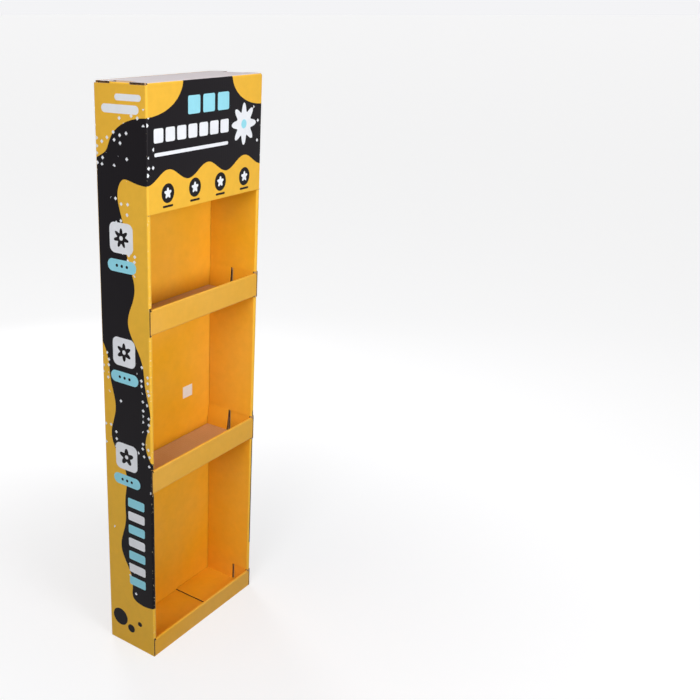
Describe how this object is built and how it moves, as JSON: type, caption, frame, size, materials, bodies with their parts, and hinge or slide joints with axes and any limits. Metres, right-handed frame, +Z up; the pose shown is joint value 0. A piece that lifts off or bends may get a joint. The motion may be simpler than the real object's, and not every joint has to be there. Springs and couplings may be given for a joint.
{
  "type": "cardboard display stand",
  "caption": "Tall, narrow shop display stand of folded corrugated board, with a closed header, rolled front edges, an open front and tray shelves with raised lips; it stands on its base.",
  "frame": {"origin": "middle of the base, on the floor", "axes": "+Z up, +X to the right as seen from the open front, +Y from the front to the back"},
  "size_m": [0.362, 0.13, 1.22],
  "materials": {
    "printed_wrap": "litho print with a thin gloss film on corrugated board",
    "printed_back": "litho print with a thin gloss film on corrugated board",
    "printed_tray": "litho print with a thin gloss film outside, plain kraft inside",
    "plain_pad": "unprinted kraft double-wall board",
    "white_paper": "uncoated white paper"
  },
  "bodies": {
    "root": {"outer_wrap": "printed_wrap", "back_panel": "printed_back", "upper_shelf": "printed_tray", "lower_shelf": "printed_tray", "base_rail": "printed_tray", "upper_pad": "plain_pad", "lower_pad": "plain_pad", "paper_label": "white_paper"}
  },
  "joints": []
}
